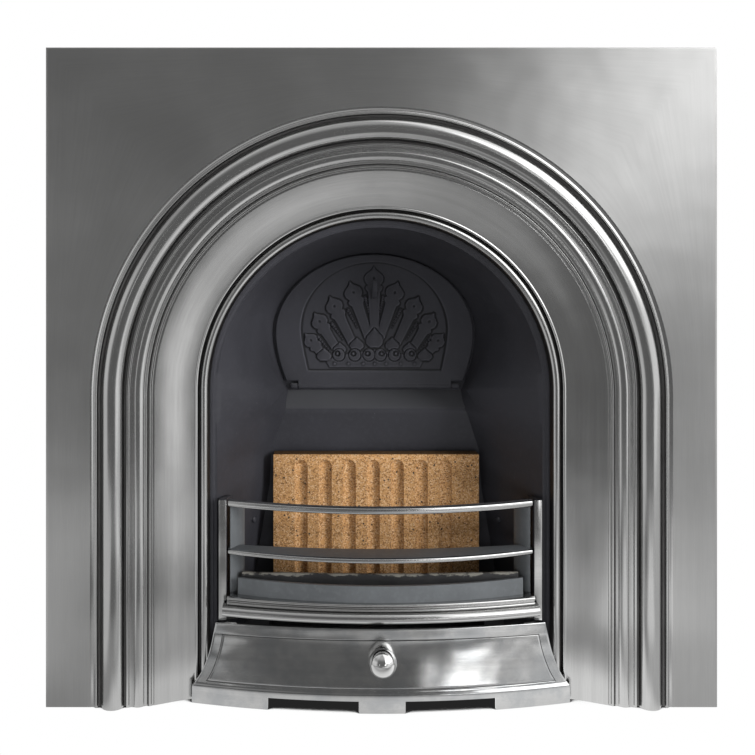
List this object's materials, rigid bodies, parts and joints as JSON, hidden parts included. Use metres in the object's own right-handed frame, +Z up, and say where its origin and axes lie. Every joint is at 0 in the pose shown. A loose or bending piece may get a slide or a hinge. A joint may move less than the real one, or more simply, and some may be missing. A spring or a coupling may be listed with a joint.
{
  "type": "arched fireplace insert",
  "caption": "Arched cast iron fireplace insert with moulded face, black firebox, fan-relief damper flap, lift-off front bars, grate, fluted brick, ash pan and cover.",
  "frame": {"origin": "on the hearth, under the middle of the fireplace's box", "axes": "+X to the right seen from the room, -Y out of the polished face into the room, +Z up"},
  "size_m": [0.965, 0.2914, 0.948],
  "materials": {
    "polished_iron": "polished",
    "black_iron": "matte",
    "graphite_iron": "satin",
    "sheet_steel": "satin",
    "zinc_steel": "satin",
    "fireclay": "matte"
  },
  "bodies": {
    "fireplace": {"fascia_plate": "polished_iron", "wall_cleat_left": "zinc_steel", "wall_cleat_right": "zinc_steel", "cleat_bolt_left": "zinc_steel", "cleat_bolt_right": "zinc_steel", "firebox_casting": "black_iron", "liner_bolt_1": "zinc_steel", "liner_bolt_2": "zinc_steel", "liner_bolt_3": "zinc_steel", "liner_bolt_4": "zinc_steel", "liner_bolt_5": "zinc_steel", "liner_bolt_6": "zinc_steel", "cheek_bolt_left": "black_iron", "cheek_bolt_right": "black_iron", "cheek_nut_left": "zinc_steel", "cheek_nut_right": "zinc_steel", "fire_brick": "fireclay", "bar_post_left": "polished_iron", "bar_post_right": "polished_iron", "bar_post_screw_1": "zinc_steel", "bar_post_screw_2": "zinc_steel", "bar_post_screw_3": "zinc_steel", "bar_post_screw_4": "zinc_steel", "damper_lug_left": "black_iron", "damper_lug_right": "black_iron", "damper_lug_screw_left": "zinc_steel", "damper_lug_screw_right": "zinc_steel"},
    "damper": {"damper_flap": "black_iron", "damper_handle": "black_iron", "damper_pin_left": "zinc_steel", "damper_pin_right": "zinc_steel"},
    "front_bars": {"front_bars": "polished_iron"},
    "bottom_grate": {"bottom_grate": "graphite_iron"},
    "ashpan_cover": {"ashpan_cover": "polished_iron", "cover_knob": "polished_iron", "cover_knob_screw": "zinc_steel"},
    "ash_pan": {"ash_pan": "sheet_steel", "ash_pan_handle": "sheet_steel", "ash_pan_rivet_left": "sheet_steel", "ash_pan_rivet_right": "sheet_steel"}
  },
  "joints": [
    {"name": "damper_hinge", "type": "hinge", "parent": "fireplace", "child": "damper", "pos_m": [0, 0.10068, 0.43871], "axis": [1, 0, 0], "range_deg": [0, 35]},
    {"name": "front_bars_lift", "type": "slide", "parent": "fireplace", "child": "front_bars", "axis": [0, 0, 1], "range_m": [0, 0.06]},
    {"name": "bottom_grate_lift", "type": "slide", "parent": "fireplace", "child": "bottom_grate", "axis": [0, 0, 1], "range_m": [0, 0.022]},
    {"name": "cover_slide", "type": "slide", "parent": "fireplace", "child": "ashpan_cover", "axis": [0, -1, 0], "range_m": [0, 0.4]},
    {"name": "ash_pan_slide", "type": "slide", "parent": "fireplace", "child": "ash_pan", "axis": [0, -1, 0], "range_m": [0, 0.22]}
  ],
  "couplings": [
    {"joint": "ash_pan_slide", "follows": "cover_slide", "ratio": 0.55}
  ]
}
